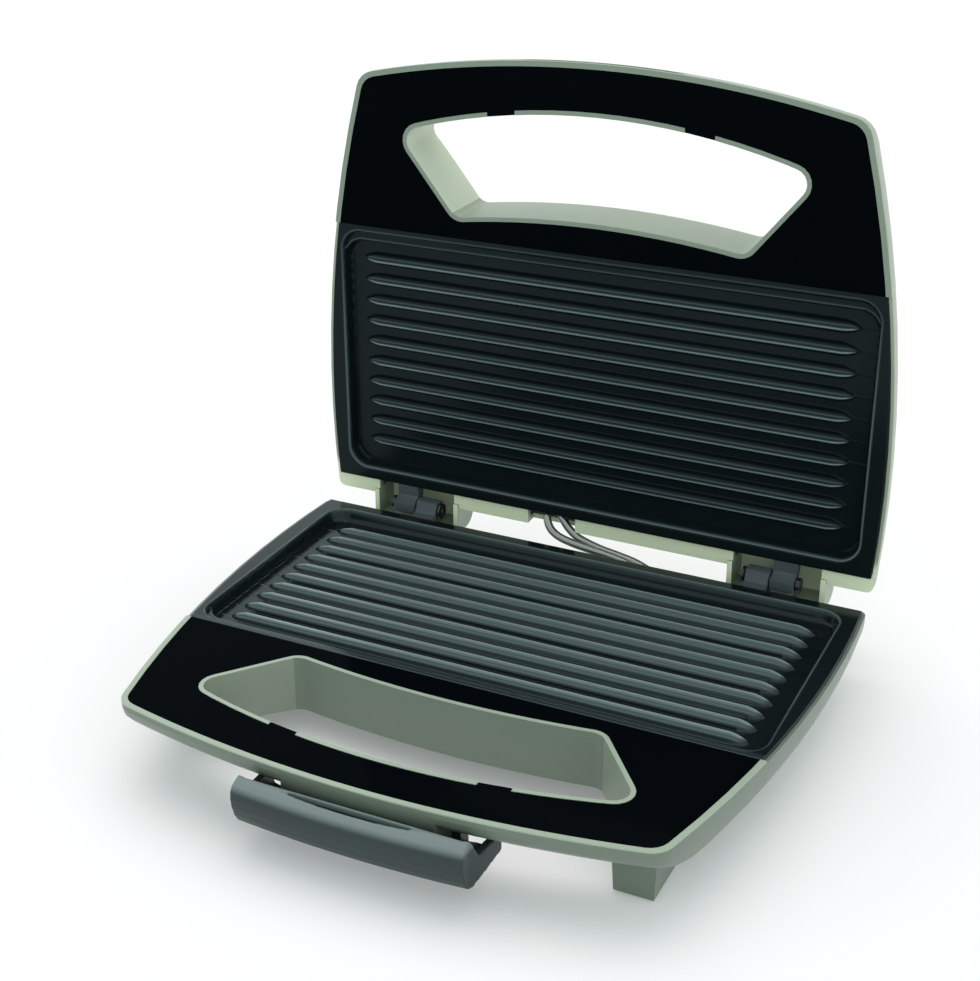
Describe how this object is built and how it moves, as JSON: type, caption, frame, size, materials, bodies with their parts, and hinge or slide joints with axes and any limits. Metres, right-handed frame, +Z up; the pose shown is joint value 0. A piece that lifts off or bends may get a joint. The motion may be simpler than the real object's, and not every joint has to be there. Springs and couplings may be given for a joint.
{
  "type": "sandwich toaster",
  "caption": "Two-slice sandwich toaster, lid open at 90 degrees: sage casings with through handles, gloss black panels, ribbed non-stick plates and a swinging front latch.",
  "frame": {"origin": "centre of the open toaster's bounding box, on the table", "axes": "+X to the toaster's right as seen from the front, +Y from the latch to the hinges, +Z up"},
  "size_m": [0.254, 0.2438, 0.24],
  "materials": {
    "sage_plastic": "satin",
    "gloss_black_plastic": "polished",
    "nonstick_aluminium": "satin",
    "grey_plastic": "satin",
    "rubber": "matte",
    "steel": "polished",
    "ceramic": "matte",
    "red_lens": "polished"
  },
  "bodies": {
    "base": {"base_casing": "sage_plastic", "base_panel": "gloss_black_plastic", "base_plate": "nonstick_aluminium", "base_element": "steel", "base_reflector": "steel", "foot_pads": "rubber", "latch_pin": "steel", "left_hinge_pin": "steel", "right_hinge_pin": "steel", "hinge_washers": "steel", "thermostat": "ceramic", "thermal_fuse": "ceramic", "terminal_block": "ceramic", "cord_inlet": "rubber", "base_panel_screws": "steel", "base_plate_screws": "steel", "live_lead": "steel", "neutral_lead": "steel", "lead_clip": "ceramic"},
    "lid": {"lid_casing": "sage_plastic", "lid_panel": "gloss_black_plastic", "lid_plate": "nonstick_aluminium", "lid_element": "steel", "lid_reflector": "steel", "lid_terminal": "ceramic", "power_lens": "red_lens", "ready_lens": "red_lens", "lamp_holder": "ceramic", "lid_panel_screws": "steel", "lid_plate_screws": "steel"},
    "latch": {"latch": "grey_plastic"}
  },
  "joints": [
    {"name": "lid_hinge", "type": "hinge", "parent": "base", "child": "lid", "pos_m": [0, 0.0943, 0.0346], "axis": [1, 0, 0], "range_deg": [0, 90], "deforming": ["live_lead", "neutral_lead"]},
    {"name": "latch_hinge", "type": "hinge", "parent": "base", "child": "latch", "pos_m": [0, -0.0966, 0.028], "axis": [-1, 0, 0], "range_deg": [0, 36]}
  ]
}
